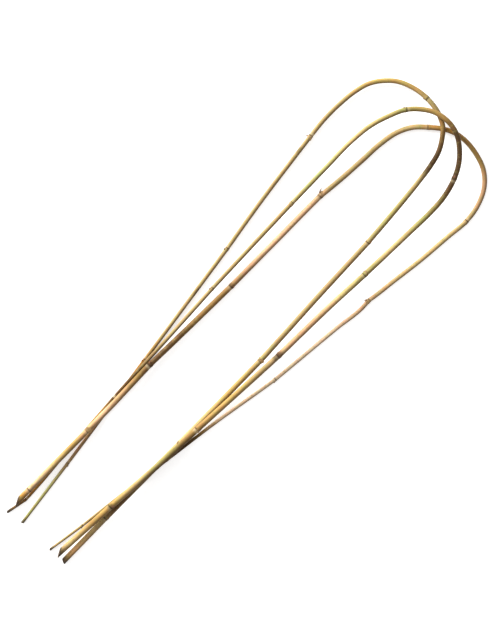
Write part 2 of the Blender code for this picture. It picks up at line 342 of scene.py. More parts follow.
class HoopSizes(bpy.types.PropertyGroup):
    sides: bpy.props.IntProperty(
        name="Flats round a cane", description="How many flats go round each cane", default=36, min=12, max=48)
    ring_swell: bpy.props.FloatProperty(
        name="Ring swell", description="How far a growth ring stands out, as a share of the radius",
        default=0.12, min=0.0, max=0.4, subtype="FACTOR")
    groove_depth: bpy.props.FloatProperty(
        name="Branch groove", description="Depth of the groove above each bud, as a share of the radius",
        default=0.09, min=0.0, max=0.3, subtype="FACTOR")
    lump_depth: bpy.props.FloatProperty(
        name="Lumps", description="How uneven a cane's girth is, as a share of the radius",
        default=0.07, min=0.0, max=0.2, subtype="FACTOR")
    ridge_depth: bpy.props.FloatProperty(
        name="Fibre ridges", description="Height of the fibre ridges along a cane",
        default=0.09 * MM, min=0.0, max=0.5 * MM, subtype="DISTANCE", unit="LENGTH")
    bud_length: bpy.props.FloatProperty(
        name="Bud length", description="Length of a small bud at a growth ring",
        default=3.4 * MM, min=1 * MM, max=8 * MM, subtype="DISTANCE", unit="LENGTH")
    splinters: bpy.props.IntProperty(
        name="Splinters", description="How many splinters stand on each cut end", default=7, min=0, max=40)
    floor_size: bpy.props.FloatProperty(
        name="Floor size", description="Length and width of the floor",
        default=16.0, min=1.0, max=20.0, subtype="DISTANCE", unit="LENGTH")


class HoopColours(bpy.types.PropertyGroup):
    scar: bpy.props.FloatVectorProperty(
        name="Ring scar", description="Dark line round each growth ring",
        default=(0.045, 0.024, 0.018), size=3, min=0.0, max=1.0, subtype="COLOR")
    wax: bpy.props.FloatVectorProperty(
        name="Ring wax", description="Pale waxy band beside each growth ring",
        default=(0.60, 0.51, 0.32), size=3, min=0.0, max=1.0, subtype="COLOR")
    cut: bpy.props.FloatVectorProperty(
        name="Cut face", description="Weathered wood of the cut ends",
        default=(0.15, 0.085, 0.045), size=3, min=0.0, max=1.0, subtype="COLOR")
    bud: bpy.props.FloatVectorProperty(
        name="Bud", description="Dry buds and spurs",
        default=(0.27, 0.105, 0.050), size=3, min=0.0, max=1.0, subtype="COLOR")
    husk: bpy.props.FloatVectorProperty(
        name="Husk", description="Dry papery husk scraps",
        default=(0.42, 0.27, 0.12), size=3, min=0.0, max=1.0, subtype="COLOR")
    floor: bpy.props.FloatVectorProperty(
        name="Floor", description="Pale floor",
        default=(0.86, 0.86, 0.86), size=3, min=0.0, max=1.0, subtype="COLOR")


class Wiring:
    """Adds nodes to a tree and joins them up."""

    def __init__(self, tree):
        self.tree = tree

    def feed(self, socket, value):
        if isinstance(value, bpy.types.NodeSocket):
            self.tree.links.new(value, socket)
        else:
            socket.default_value = value

    def node(self, kind, feeds=None, **settings):
        made = self.tree.nodes.new(kind)
        row, column = divmod(len(self.tree.nodes), 12)
        made.location = (190 * column, -230 * row)
        for name, value in settings.items():
            setattr(made, name, value)
        for name, value in (feeds or {}).items():
            self.feed(made.inputs[name], value)
        return made

    def math(self, operation, *values, clamp=False):
        made = self.node("ShaderNodeMath", operation=operation, use_clamp=clamp)
        for socket, value in zip(made.inputs, values):
            self.feed(socket, value)
        return made.outputs[0]

    def plus(self, first, second, clamp=False):
        return self.math("ADD", first, second, clamp=clamp)

    def minus(self, first, second):
        return self.math("SUBTRACT", first, second)

    def times(self, first, second, clamp=False):
        return self.math("MULTIPLY", first, second, clamp=clamp)

    def swing(self, noise, amount):
        """A noise made to go to both sides of 0, and scaled."""
        return self.times(self.minus(noise, 0.5), amount)

    def vector(self, operation, *values, scale=None):
        made = self.node("ShaderNodeVectorMath", operation=operation)
        for socket, value in zip(made.inputs, values):
            self.feed(socket, value)
        if scale is not None:
            self.feed(made.inputs["Scale"], scale)
        return made.outputs["Value" if operation == "DOT_PRODUCT" else "Vector"]

    def hump(self, value, middle, width):
        """1 where the value is at the middle, falling to 0 on both sides."""
        off = self.math("DIVIDE", self.minus(value, middle), width)
        return self.math("EXPONENT", self.times(self.times(off, off), -1.0))

    def spread(self, value, low, high, to_low=0.0, to_high=1.0):
        """The value moved from one range to another and kept inside it."""
        made = self.node("ShaderNodeMapRange", {"Value": value, "From Min": low, "From Max": high,
                                                "To Min": to_low, "To Max": to_high}, clamp=True)
        return made.outputs["Result"]

    def noise(self, place, scale, detail, roughness, seed):
        """Noise from 0 to 1. A scale of three numbers makes it finer along some axes than others."""
        if isinstance(scale, tuple):
            place, scale = self.vector("MULTIPLY", place, scale), 1.0
        made = self.node("ShaderNodeTexNoise", {"Vector": place, "W": seed, "Scale": scale, "Detail": detail,
                                                "Roughness": roughness}, noise_dimensions="4D")
        return made.outputs["Fac"]


# ---------------------------------------------------------------- routes

def cane_radius(share, cane):
    return 0.5 * (cane.thick - (cane.thick - cane.thin) * share ** TAPER_POWER)


def centre_points(cane):
    flat = [Vector((x * MM, y * MM, 0.0)) for x, y, _, _ in cane.route]
    along = [0.0]
    for before, after in zip(flat, flat[1:]):
        along.append(along[-1] + (after - before).length)
    points = []
    for place, (_, _, lift, _), distance in zip(flat, cane.route, along):
        radius = cane_radius(distance / along[-1], cane)
        points.append(place + Vector((0.0, 0.0, lift * MM + radius)))
    return points


def tangents(points, kinds):
    """Two directions for each point: the one that the curve arrives with and the one it leaves with."""
    last = len(points) - 1
    arriving, leaving = [], []
    for i in range(last + 1):
        before = points[i] - points[max(i - 1, 0)]
        after = points[min(i + 1, last)] - points[i]
        if i == 0:
            before = after
        if i == last:
            after = before
        shared = (before.normalized() * after.length + after.normalized() * before.length).normalized()
        kink = KINK if kinds[i] == RING else 0.0
        arriving.append(shared.lerp(before.normalized(), kink).normalized())
        leaving.append(shared.lerp(after.normalized(), kink).normalized())
    return arriving, leaving


def smooth_curve(cane):
    """Closely spaced points along the route, and how far along them each growth ring is."""
    points = centre_points(cane)
    kinds = [row[3] for row in cane.route]
    arriving, leaving = tangents(points, kinds)
    curve = [points[0]]
    distance = 0.0
    rings = []
    for i in range(len(points) - 1):
        start, end = points[i], points[i + 1]
        chord = (end - start).length
        for step in range(1, CURVE_STEPS + 1):
            t = step / CURVE_STEPS
            place = (
                (2 * t ** 3 - 3 * t ** 2 + 1) * start
                + (t ** 3 - 2 * t ** 2 + t) * chord * leaving[i]
                + (3 * t ** 2 - 2 * t ** 3) * end
                + (t ** 3 - t ** 2) * chord * arriving[i + 1]
            )
            distance += (place - curve[-1]).length
            curve.append(place)
        if kinds[i + 1] != PASS:
            rings.append(distance)
    return curve, rings


class Path:
    """A cane's centre line: places, directions and growth rings by the distance from its thick end."""

    def __init__(self, cane, shift):
        curve, self.rings = smooth_curve(cane)
        self.cane = cane
        self.points = np.array([tuple(point + shift) for point in curve])
        steps = np.linalg.norm(np.diff(self.points, axis=0), axis=1)
        self.along = np.concatenate(([0.0], np.cumsum(steps)))
        self.length = self.along[-1]

    def place(self, distance):
        return Vector([np.interp(distance, self.along, self.points[:, axis]) for axis in range(3)])

    def direction(self, distance):
        ahead = self.place(min(distance + DIRECTION_REACH, self.length))
        return (ahead - self.place(max(distance - DIRECTION_REACH, 0.0))).normalized()

    def radius(self, distance):
        return cane_radius(distance / self.length, self.cane)

    def way(self, distance, degrees):
        """Unit vector out of the cane: degrees from its right-hand side towards the sky."""
        direction = self.direction(distance)
        side = direction.cross(Vector((0.0, 0.0, 1.0))).normalized()
        up = side.cross(direction).normalized()
        turn = math.radians(degrees)
        return side * math.cos(turn) + up * math.sin(turn)

    def bud_side(self, ring):
        """The side of the bud at a growth ring, in degrees."""
        if ring in self.cane.spurs:
            return self.cane.spurs[ring][0]
        return ODD_SIDE if ring % 2 else EVEN_SIDE

    def sections(self):
        """Distances of the sections: close together at growth rings and ends."""
        places = [0.0]
        while places[-1] < self.length:
            here = places[-1]
            ring_gap = min(abs(here + CLOSE_STEP - ring) for ring in self.rings)
            end_gap = min(here, self.length - here)
            close = ring_gap < RING_ZONE or end_gap < END_ZONE
            places.append(here + (CLOSE_STEP if close else PLAIN_STEP))
        places[-1] = self.length
        return places


def settling_shift(ring_swell):
    """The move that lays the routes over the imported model, which is centred and rests on its lowest ring."""
    paths = [Path(cane, Vector((0.0, 0.0, 0.0))) for cane in CANES]
    path = paths[2]
    low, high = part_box(path.cane.node)
    radii = np.array([path.radius(distance) for distance in path.along])
    left = (path.points[:, 0] - radii).min()
    right = (path.points[:, 0] + radii).max()
    across = 0.5 * (low[0] + high[0]) - 0.5 * (left + right)
    forward = high[1] - (path.points[:, 1] + radii).max()
    lowest = min(path.place(ring).z - path.radius(ring) * (1.0 + ring_swell)
                 for path in paths for ring in path.rings)
    return Vector((across, forward, CAD_BOX[0][2] - lowest))


# ---------------------------------------------------------------- geometry nodes

class GeometryTree(Wiring):
    """A geometry node tree with named inputs."""

    def __init__(self, name, inputs):
        super().__init__(bpy.data.node_groups.new(name, "GeometryNodeTree"))
        for label, kind in {"Geometry": "Geometry", **inputs}.items():
            self.tree.interface.new_socket(label, in_out="INPUT", socket_type="NodeSocket" + kind)
        self.tree.interface.new_socket("Geometry", in_out="OUTPUT", socket_type="NodeSocketGeometry")
        self.given = self.node("NodeGroupInput").outputs

    def place(self):
        return self.node("GeometryNodeInputPosition").outputs[0]

    def carried(self, name, kind="FLOAT"):
        """A value that the mesh carries."""
        made = self.node("GeometryNodeInputNamedAttribute", {"Name": name}, data_type=kind)
        return made.outputs["Attribute"]

    def store(self, geometry, name, value, kind="FLOAT"):
        made = self.node("GeometryNodeStoreNamedAttribute", {"Geometry": geometry, "Name": name, "Value": value},
                         data_type=kind, domain="POINT")
        return made.outputs["Geometry"]

    def close(self, geometry, material):
        """Every tree ends in realized instances and a material."""
        real = self.node("GeometryNodeRealizeInstances", {"Geometry": geometry}).outputs[0]
        finished = self.node("GeometryNodeSetMaterial", {"Geometry": real, "Material": self.given[material]})
        self.node("NodeGroupOutput", {"Geometry": finished.outputs[0]})
        return self.tree


def cane_tree():
    """Turns a route into a cane with growth rings, branch grooves, lumps and fibre ridges."""
    tree = GeometryTree("bamboo_cane", {
        "Sides": "Int", "Ring Swell": "Float", "Groove Depth": "Float", "Lump Depth": "Float",
        "Ridge Depth": "Float", "Seed": "Float", "Skin": "Material"})
    given, carried = tree.given, tree.carried
    radius = carried("clean_radius")
    curve = tree.node("GeometryNodeMeshToCurve", {"Mesh": given["Geometry"]}).outputs[0]
    curve = tree.node("GeometryNodeSetCurveNormal", {"Curve": curve}, mode="Z_UP").outputs[0]
    curve = tree.store(curve, "centre", tree.place(), "FLOAT_VECTOR")
    ring = tree.node("GeometryNodeCurvePrimitiveCircle", {"Resolution": given["Sides"], "Radius": 1.0},
                     mode="RADIUS").outputs[0]
    ring = tree.store(ring, "rim", tree.place(), "FLOAT_VECTOR")
    tube = tree.node("GeometryNodeCurveToMesh", {
        "Curve": curve, "Profile Curve": ring, "Scale": radius, "Fill Caps": False}).outputs[0]

    rim = tree.node("ShaderNodeSeparateXYZ", {"Vector": carried("rim", "FLOAT_VECTOR")}).outputs
    here = tree.node("ShaderNodeCombineXYZ", {
        "X": carried("along"), "Y": tree.times(rim["X"], radius), "Z": tree.times(rim["Y"], radius)}).outputs[0]
    tube = tree.store(tube, "cane_place", here, "FLOAT_VECTOR")

    offset = carried("ring_offset")
    lip = tree.times(tree.hump(offset, *RING_LIP), LIP_SHARE)
    neck = tree.times(tree.hump(offset, *RING_NECK), LIP_SHARE)
    swell = tree.minus(tree.plus(tree.hump(offset, *RING_RIDGE), lip), neck)
    swell = tree.times(given["Ring Swell"], swell)

    outward = tree.vector("SUBTRACT", tree.place(), carried("centre", "FLOAT_VECTOR"))
    outward = tree.vector("NORMALIZE", outward)
    facing = tree.vector("DOT_PRODUCT", outward, carried("bud_way", "FLOAT_VECTOR"))
    facing = tree.math("POWER", tree.math("MAXIMUM", facing, 0.0), GROOVE_POWER)
    fade = tree.spread(carried("since_ring"), *GROOVE_FADE)
    clear = tree.spread(tree.math("ABSOLUTE", offset), *GROOVE_START)
    groove = tree.times(tree.times(facing, fade), tree.times(clear, given["Groove Depth"]))

    lumps = tree.swing(tree.noise(here, LUMPS, 3.0, 0.5, given["Seed"]), given["Lump Depth"])
    ridges = tree.swing(tree.noise(here, FIBRE_RIDGES, 2.0, 0.6, given["Seed"]), given["Ridge Depth"])
    share = tree.minus(tree.plus(swell, lumps), groove)
    rise = tree.plus(tree.times(share, radius), ridges)
    moved = tree.node("GeometryNodeSetPosition", {
        "Geometry": tube, "Offset": tree.vector("SCALE", outward, scale=rise)}).outputs[0]

    # Which way each point faces the key light, for the painted shade and painted light in the skin
    moved = tree.store(moved, "sun_side", tree.vector("DOT_PRODUCT", outward, PAINTED_LIGHT_WAY))
    moved = tree.store(moved, "ring_scar", tree.hump(offset, *RING_SCAR))
    wax = tree.times(tree.hump(offset, *RING_WAX), carried("wax_share"))
    moved = tree.store(moved, "ring_wax", wax)
    return tree.close(moved, "Skin")


def scatter_tree():
    """Sets copies of a small shape on points that say their own turn and size."""
    tree = GeometryTree("set_on_cane", {
        "Shape": "Object", "Size Change": "Float", "Seed": "Int", "Finish": "Material"})
    given = tree.given
    points = tree.node("GeometryNodeMeshToPoints", {"Mesh": given["Geometry"]}).outputs[0]
    shape = tree.node("GeometryNodeObjectInfo", {"Object": given["Shape"]}).outputs["Geometry"]
    turn = tree.node("FunctionNodeEulerToRotation", {"Euler": tree.carried("turn", "FLOAT_VECTOR")}).outputs[0]
    change = tree.node("FunctionNodeRandomValue", {"Seed": given["Seed"]}, data_type="FLOAT")
    low, high = [socket for socket in change.inputs if socket.type == "VALUE"][:2]
    tree.feed(low, tree.minus(1.0, given["Size Change"]))
    tree.feed(high, tree.plus(1.0, given["Size Change"]))
    chosen = [socket for socket in change.outputs if socket.type == "VALUE"][0]
    size = tree.vector("SCALE", tree.carried("size", "FLOAT_VECTOR"), scale=chosen)
    set_on = tree.node("GeometryNodeInstanceOnPoints",
                       {"Points": points, "Instance": shape, "Rotation": turn, "Scale": size})
    return tree.close(set_on.outputs[0], "Finish")


def add_object(name, data):
    """A new object, put in the scene."""
    made = bpy.data.objects.new(name, data)
    bpy.context.scene.collection.objects.link(made)
    return made


def run_tree(name, start, tree, values):
    """Runs a tree on a starting mesh and returns the result as a plain mesh."""
    holder = add_object(name + "_holder", start)
    modifier = holder.modifiers.new("nodes", "NODES")
    modifier.node_group = tree
    for item in tree.interface.items_tree:
        if item.in_out == "INPUT" and item.name in values:
            modifier[item.identifier] = values[item.name]
    graph = bpy.context.evaluated_depsgraph_get()
    mesh = bpy.data.meshes.new_from_object(holder.evaluated_get(graph), depsgraph=graph)
    mesh.name = name
    bpy.data.objects.remove(holder, do_unlink=True)
    if not mesh.polygons:
        raise RuntimeError("nothing came out of the nodes for " + name)
    return mesh


# ---------------------------------------------------------------- canes

def add_values(mesh, name, values, kind="FLOAT"):
    layer = mesh.attributes.new(name, kind, "POINT")
    field = "vector" if kind == "FLOAT_VECTOR" else "value"
    layer.data.foreach_set(field, np.asarray(values, dtype=np.float32).ravel())


def read_values(data, field, width=1):
    values = np.zeros(len(data) * width, dtype=np.float32)
    data.foreach_get(field, values)
    return values.reshape(-1, width) if width > 1 else values


def read_sections(mesh):
    """Each point's place, the middle of its section, and how far along the cane that is."""
    return (read_values(mesh.vertices, "co", 3),
            read_values(mesh.attributes["centre"].data, "vector", 3),
            read_values(mesh.attributes["along"].data, "value"))


def route_mesh(path):
    """The cane's centre line as joined points that carry what the nodes need."""
    places = path.sections()
    points = [path.place(distance) for distance in places]
    mesh = bpy.data.meshes.new("route")
    mesh.from_pydata(points, [(i, i + 1) for i in range(len(points) - 1)], [])
    rings = np.array(path.rings)
    offsets, since, ways, waxes = [], [], [], []
    for distance in places:
        nearest = int(np.abs(rings - distance).argmin())
        offsets.append(distance - rings[nearest])
        waxes.append(PALE_RINGS[path.cane.piece].get(nearest, FAINT_WAX))
        passed = int((rings <= distance).sum()) - 1
        start = rings[passed] if passed >= 0 else -RING_BEFORE
        end = rings[passed + 1] if passed + 1 < len(rings) else path.length + RING_AFTER
        since.append((distance - start) / (end - start))
        ways.append(tuple(path.way(distance, path.bud_side(max(passed, 0)))))
    carried = {
        "clean_radius": [path.radius(distance) for distance in places],
        "along": places,
        "along_share": [distance / path.length for distance in places],
        "end_gap": [min(distance, path.length - distance) for distance in places],
        "ring_offset": offsets,
        "since_ring": since,
        "wax_share": waxes,
    }
    for name, values in carried.items():
        add_values(mesh, name, values)
    add_values(mesh, "bud_way", ways, "FLOAT_VECTOR")
    return mesh


def slant_ends(mesh, path):
    """Leans the last sections over, so that each end is one slanting cut."""
    cane = path.cane
    places, centres, along = read_sections(mesh)
    ends = (
        (cane.butt_cut, along, -path.direction(0.0), cane.thick, BUTT_CLEAR),
        (cane.tip_cut, path.length - along, path.direction(path.length), cane.thin, TIP_CLEAR),
    )
    for (slant, degrees), gap, outward, diameter, spare in ends:
        clear = diameter * (0.5 * slant + spare)
        weight = np.clip(1.0 - gap / clear, 0.0, 1.0)
        turn = math.radians(degrees)
        lean = (places - centres) @ np.array((math.cos(turn), 0.0, math.sin(turn)))
        places += (lean * slant * weight)[:, None] * np.array(tuple(outward))[None, :]
    mesh.vertices.foreach_set("co", places.ravel())


def add_bruises_and_shade(mesh, path):
    """How dark the bruises, and the painted shade listed with them, make each point."""
    places, centres, along = read_sections(mesh)
    outward = places - centres
    outward /= np.linalg.norm(outward, axis=1)[:, None]
    dark = np.zeros(len(along))
    for middle, reach, degrees, strength in path.cane.bruises:
        way = np.array(tuple(path.way(middle * MM, degrees)))
        facing = np.clip(BRUISE_WRAP + BRUISE_FACING * (outward @ way), 0.0, 1.0)
        fall = np.exp(-(((along - middle * MM) / (reach * MM)) ** 4))
        dark = np.maximum(dark, strength * facing * fall)
    add_values(mesh, "bruise", dark)


def close_end(shape, rim, centre, outward, rng):
    """Adds a rough cut face with the cane's small bore to an open end."""
    place_layer = shape.verts.layers.float_vector["cane_place"]
    gap_layer = shape.verts.layers.float["end_gap"]
    share_layer = shape.verts.layers.float["along_share"]
    previous = rim
    for share, stand in CUT_FACE:
        loop = []
        for start in rim:
            rough = rng.uniform(-CUT_ROUGH, CUT_ROUGH) if ROUGH_FROM < share < ROUGH_TO else 0.0
            place = centre + (start.co - centre) * share + outward * (stand + rough) * MM
            corner = shape.verts.new(place)
            x, y, z = start[place_layer]
            corner[place_layer] = (x + stand * MM, y * share, z * share)
            corner[gap_layer] = 0.0
            corner[share_layer] = start[share_layer]
            loop.append(corner)
        join_loops(shape, previous, loop, 1)
        previous = loop
    tip = shape.verts.new(centre + outward * CUT_FACE[-1][1] * BORE_POINT * MM)
    tip[place_layer] = (rim[0][place_layer][0], 0.0, 0.0)
    tip[share_layer] = rim[0][share_layer]
    fan(shape, previous, tip, 1)


def join_loops(shape, first, second, material=0):
    for i in range(len(first)):
        j = (i + 1) % len(first)
        face = shape.faces.new((first[i], first[j], second[j], second[i]))
        face.material_index = material


def fan(shape, loop, tip, material=0):
    for i in range(len(loop)):
        face = shape.faces.new((loop[i], loop[(i + 1) % len(loop)], tip))
        face.material_index = material


def close_ends(mesh, path):
    rng = random.Random(path.cane.seed)
    shape = bmesh.new()
    shape.from_mesh(mesh)
    along = shape.verts.layers.float["along"]
    open_corners = {corner for edge in shape.edges if edge.is_boundary for corner in edge.verts}
    for distance, sense in ((0.0, -1.0), (path.length, 1.0)):
        centre = path.place(distance)
        outward = path.direction(distance) * sense
        side, up = path.way(distance, 0), path.way(distance, 90)
        rim = [corner for corner in open_corners if abs(corner[along] - distance) < 0.1 * MM]
        rim.sort(key=lambda corner: math.atan2((corner.co - centre).dot(up), (corner.co - centre).dot(side)))
        close_end(shape, rim, centre, outward, rng)
    finish_mesh(shape, mesh)


def finish_mesh(shape, mesh):
    """Turns every face outwards and fills the mesh, shaded smooth."""
    bmesh.ops.recalc_face_normals(shape, faces=shape.faces)
    shape.to_mesh(mesh)
    shape.free()
    mesh.shade_smooth()


def build_cane(path, tree, skin, cut_wood, sizes):
    cane = path.cane
    mesh = run_tree(cane.piece, route_mesh(path), tree, {
        "Sides": sizes.sides, "Ring Swell": sizes.ring_swell, "Groove Depth": sizes.groove_depth,
        "Lump Depth": sizes.lump_depth, "Ridge Depth": sizes.ridge_depth, "Seed": float(cane.seed),
        "Skin": skin})
    add_bruises_and_shade(mesh, path)
    slant_ends(mesh, path)
    mesh.materials.clear()
    mesh.materials.append(skin)
    mesh.materials.append(cut_wood)
    close_ends(mesh, path)
    for name in WORKING_VALUES:
        mesh.attributes.remove(mesh.attributes[name])
    mesh.set_sharp_from_angle(angle=SHARP_ANGLE)
    return add_piece(cane.piece, mesh, cane.piece, cane.node)


def add_piece(name, mesh, slot, node=None):
    piece = add_object(name, mesh)
    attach(piece, "root")
    if node is not None:
        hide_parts(node)
    return piece


# ---------------------------------------------------------------- buds, husk scraps and splinters

def template(name, shape):
    """A small shape as an object of its own, for the nodes to copy."""
    mesh = bpy.data.meshes.new(name)
    finish_mesh(shape, mesh)
    return add_object(name, mesh)


def pointed_shape(name, rows):
    """A small closed shape from rows of corners; the first and last row are points."""
    shape = bmesh.new()
    first = shape.verts.new(rows[0][0])
    last = shape.verts.new(rows[-1][0])
    loops = [[shape.verts.new(place) for place in row] for row in rows[1:-1]]
    for before, after in zip(loops, loops[1:]):
        join_loops(shape, before, after)
    fan(shape, loops[0], first)
    fan(shape, loops[-1], last)
    return template(name, shape)


def bud_shape():
    """A pointed scale one unit long (+Z), lying on the cane's surface with its back to +X."""
    rows = [[(0.0, 0.0, -0.12)]]
    for step in range(1, BUD_STEPS):
        t = step / BUD_STEPS
        width = BUD_WIDTH * math.sin(math.pi * t ** 0.62) ** 0.8
        height = BUD_HEIGHT * math.sin(math.pi * t ** 0.75) ** 0.9
        row = []
        for corner in range(BUD_CORNERS):
            turn = 2 * math.pi * corner / BUD_CORNERS
            out = math.cos(turn)
            back = height * out * (1.0 if out > 0 else BUD_BELLY) + BUD_KEEL * max(out, 0.0) ** 6
            row.append((BUD_LEAN * t ** 1.5 + back, width * math.sin(turn), t))
        rows.append(row)
    rows.append([(0.17, 0.0, 1.04)])
    return pointed_shape("bud_shape", rows)


def splinter_shape():
    """A thin splinter one unit long (+Z) with a slight bend."""
    rows = [[(0.0, 0.0, -0.3)]]
    for t, thick in ((-0.2, 0.9), (0.25, 0.8), (0.6, 0.5), (0.85, 0.25)):
        bend = 0.5 * t * t
        rows.append([(bend + thick * math.cos(turn), 1.6 * thick * math.sin(turn), t)
                     for turn in (0.3, 1.9, 3.4, 5.0)])
    rows.append([(0.6, 0.0, 1.0)])
    return pointed_shape("splinter_shape", rows)


def husk_shape():
    """A curled scrap of husk round a cane of radius 1, one unit long (+Z), with a torn edge."""
    rng = random.Random(5)
    turns = [HUSK_SPAN * (i / HUSK_AROUND - 0.5) for i in range(HUSK_AROUND + 1)]
    heights = [0.62 + 0.38 * math.cos(1.7 * turn) - rng.uniform(0.0, HUSK_TEAR) for turn in turns]
    shape = bmesh.new()
    grids = []
    for gap in (0.0, HUSK_THICK):
        grid = []
        for turn, torn in zip(turns, heights):
            column = []
            for j in range(HUSK_UP + 1):
                t = j / HUSK_UP
                peel = 1.02 + HUSK_PEEL * t ** 2.2 * (0.4 + abs(turn)) + gap * (1.0 - 0.7 * t)
                column.append(shape.verts.new((peel * math.cos(turn), peel * math.sin(turn), t * torn)))
            grid.append(column)
        grids.append(grid)
    for grid in grids:
        for i in range(HUSK_AROUND):
            for j in range(HUSK_UP):
                shape.faces.new((grid[i][j], grid[i + 1][j], grid[i + 1][j + 1], grid[i][j + 1]))
    join_loops(shape, *(border(grid) for grid in grids))
    return template("husk_shape", shape)


def border(grid):
    """The corners round the border of a grid."""
    loop = [column[0] for column in grid[:-1]] + grid[-1][:-1]
    return loop + [column[-1] for column in grid[:0:-1]] + grid[0][:0:-1]


def set_on_canes(name, rows, shape, finish, slot, change, seed):
    """One piece of small shapes: each row is a place, a turn matrix and a size."""
    mesh = bpy.data.meshes.new(name + "_places")
    mesh.from_pydata([row[0] for row in rows], [], [])
    add_values(mesh, "turn", [tuple(row[1].to_euler()) for row in rows], "FLOAT_VECTOR")
    add_values(mesh, "size", [tuple(row[2]) for row in rows], "FLOAT_VECTOR")
    tree = bpy.data.node_groups.get("set_on_cane") or scatter_tree()
    result = run_tree(name, mesh, tree, {
        "Shape": shape, "Size Change": change, "Seed": seed, "Finish": finish})
    bpy.data.objects.remove(shape, do_unlink=True)
    return add_piece(name, result, slot)


def turned(outward, direction, lean=0.0):
    """A turn with local +X out of the cane and local +Z along it, leaning outwards."""
    along = (direction * math.cos(lean) + outward * math.sin(lean)).normalized()
    across = along.cross(outward).normalized()
    out = across.cross(along).normalized()
    return Matrix((out, across, along)).transposed()


def bud_rows(path, bud_length):
    rows = []
    for ring, distance in enumerate(path.rings):
        small = (path.bud_side(ring), bud_length / MM, SMALL_BUD_LEAN)
        degrees, length, lean = path.cane.spurs.get(ring, small)
        start = distance + BUD_START
        outward = path.way(start, degrees)
        place = path.place(start) + outward * path.radius(start) * BUD_STAND
        thick = min(length * MM, BUD_THICKEST)
        rows.append((place, turned(outward, path.direction(start), math.radians(lean)),
                     Vector((thick, thick, length * MM))))
    return rows


def splinter_rows(path, count, rng):
    """Places of the splinters round both cut rims."""
    rows = []
    ends = ((0.0, -1.0, path.cane.butt_cut), (path.length, 1.0, path.cane.tip_cut))
    for distance, sense, (slant, point_side) in ends:
        radius = path.radius(distance)
        outward = path.direction(distance) * sense
        turn = math.radians(point_side)
        towards_point = Vector((math.cos(turn), 0.0, math.sin(turn)))
        for _ in range(count):
            way = path.way(distance, rng.uniform(0, 360))
            length = rng.uniform(*SPLINTER_LENGTH) * radius
            depth = rng.uniform(*SPLINTER_DEPTH)
            rim = path.place(distance) + way * radius * depth
            rim += outward * radius * depth * slant * way.dot(towards_point)
            rows.append((rim, turned(way, outward, math.radians(rng.uniform(*SPLINTER_LEAN))),
                         Vector((*SPLINTER_THICK, length))))
    return rows


def husk_rows(paths):
    rows = []
    for index, ring, degrees, length, sense in HUSKS:
        path = paths[index]
        distance = path.rings[ring] - sense * HUSK_START
        radius = path.radius(distance) * HUSK_STAND
        direction = path.direction(distance) * sense
        rows.append((path.place(distance), turned(path.way(distance, degrees), direction),
                     Vector((radius, radius, length * MM))))
    return rows


# ---------------------------------------------------------------- materials

class Finish(Wiring):
    """A procedural material whose colour is laid on in layers."""

    def __init__(self, name):
        self.material = bpy.data.materials.new(name)
        self.material.use_nodes = True
        super().__init__(self.material.node_tree)
        self.inputs = self.tree.nodes["Principled BSDF"].inputs
        self.colour = None

    def carried(self, name, output="Fac"):
        """A value that the surface carries."""
        return self.node("ShaderNodeAttribute", attribute_name=name).outputs[output]

    def object_place(self):
        return self.node("ShaderNodeTexCoord").outputs["Object"]

    def mix(self, amount, first, second, blend="MIX"):
        made = self.node("ShaderNodeMix", data_type="RGBA", blend_type=blend, clamp_factor=True)
        colours = [socket for socket in made.inputs if socket.type == "RGBA"]
        self.feed(made.inputs["Factor"], amount)
        for socket, value in zip(colours, (first, second)):
            self.feed(socket, value if isinstance(value, bpy.types.NodeSocket) else (*value, 1.0))
        return [socket for socket in made.outputs if socket.type == "RGBA"][0]

    def layer(self, amount, colour, blend="MIX"):
        self.colour = self.mix(amount, self.colour, colour, blend)

    def light(self, value):
        """Makes the colour paler or darker."""
        grey = self.node("ShaderNodeCombineColor", {"Red": value, "Green": value, "Blue": value})
        self.layer(1.0, grey.outputs["Color"], "MULTIPLY")

    def tone_ramp(self, amount, tones):
        """The cane's colours along its length."""
        made = self.node("ShaderNodeValToRGB", {"Fac": amount})
        steps = made.color_ramp.elements
        steps.remove(steps[1])
        steps[0].color = (*PALETTE[tones[0][1]], 1.0)
        for share, tone in tones[1:]:
            steps.new(share).color = (*PALETTE[tone], 1.0)
        return made.outputs["Color"]

    def close(self, rough, height, strength, depth):
        """Joins the colour, the roughness and the bump to the shader."""
        bump = self.node("ShaderNodeBump", {"Height": height, "Strength": strength, "Distance": depth})
        self.feed(self.inputs["Base Color"], self.colour)
        self.feed(self.inputs["Roughness"], rough)
        self.feed(self.inputs["Normal"], bump.outputs["Normal"])
        return self.material


